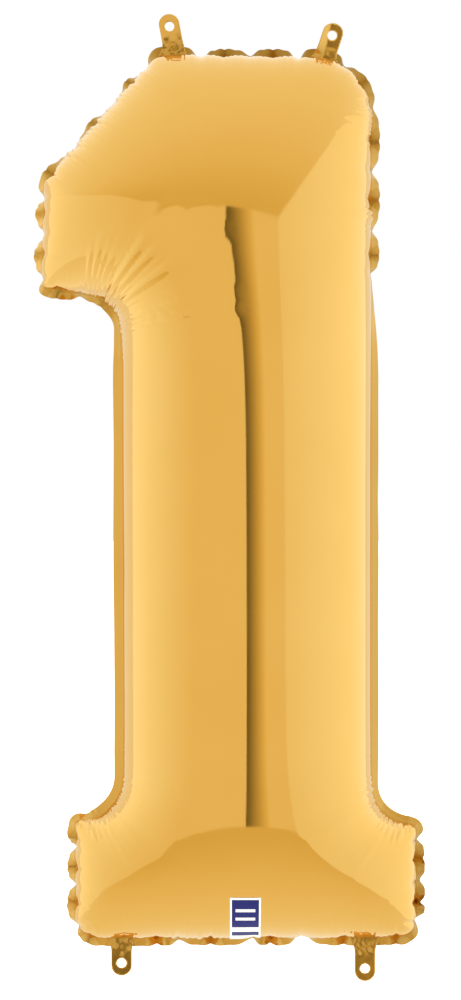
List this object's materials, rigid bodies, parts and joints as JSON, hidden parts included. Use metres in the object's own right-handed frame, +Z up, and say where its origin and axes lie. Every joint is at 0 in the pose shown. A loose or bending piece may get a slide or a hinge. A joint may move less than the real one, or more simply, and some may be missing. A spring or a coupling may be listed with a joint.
{
  "type": "foil number balloon",
  "caption": "Large inflated foil balloon in the form of the figure one, mirror-bright gold, with welded hanging tabs.",
  "frame": {"origin": "under the middle of the balloon's box, at the level of its lowest tab", "axes": "+Z up the figure, +X to the right as the figure is read, the front looks along -Y"},
  "size_m": [0.393, 0.2482, 0.967],
  "materials": {
    "gold_film": "metallised nylon film, mirror-bright gold, slightly soft reflections",
    "valve_film": "thin clear polyethylene film, cloudy",
    "label": "plain printed patch, white with dark blue bars"
  },
  "bodies": {
    "envelope": {"front_film": "gold_film", "back_film": "gold_film", "valve_front": "valve_film", "valve_back": "valve_film", "label_patch": "label"},
    "tab_top_left": {"tab_top_left": "gold_film"},
    "tab_top_right": {"tab_top_right": "gold_film"},
    "tab_bottom_left": {"tab_bottom_left": "gold_film"},
    "tab_bottom_right": {"tab_bottom_right": "gold_film"}
  },
  "joints": [
    {"name": "tab_top_left_fold", "type": "hinge", "parent": "envelope", "child": "tab_top_left", "pos_m": [-0.05691, 0, 0.93829], "axis": [0.9823, 0, 0.1874], "range_deg": [-90, 90], "stiffness_Nm_per_rad": 0.0005},
    {"name": "tab_top_right_fold", "type": "hinge", "parent": "envelope", "child": "tab_top_right", "pos_m": [0.09762, 0, 0.93033], "axis": [0.9483, 0, -0.3173], "range_deg": [-90, 90], "stiffness_Nm_per_rad": 0.0005},
    {"name": "tab_bottom_left_fold", "type": "hinge", "parent": "envelope", "child": "tab_bottom_left", "pos_m": [-0.1079, 0, 0.032], "axis": [-1, 0, 0], "range_deg": [-90, 90], "stiffness_Nm_per_rad": 0.0005},
    {"name": "tab_bottom_right_fold", "type": "hinge", "parent": "envelope", "child": "tab_bottom_right", "pos_m": [0.1355, 0, 0.03], "axis": [-1, 0, 0], "range_deg": [-90, 90], "stiffness_Nm_per_rad": 0.0005}
  ]
}
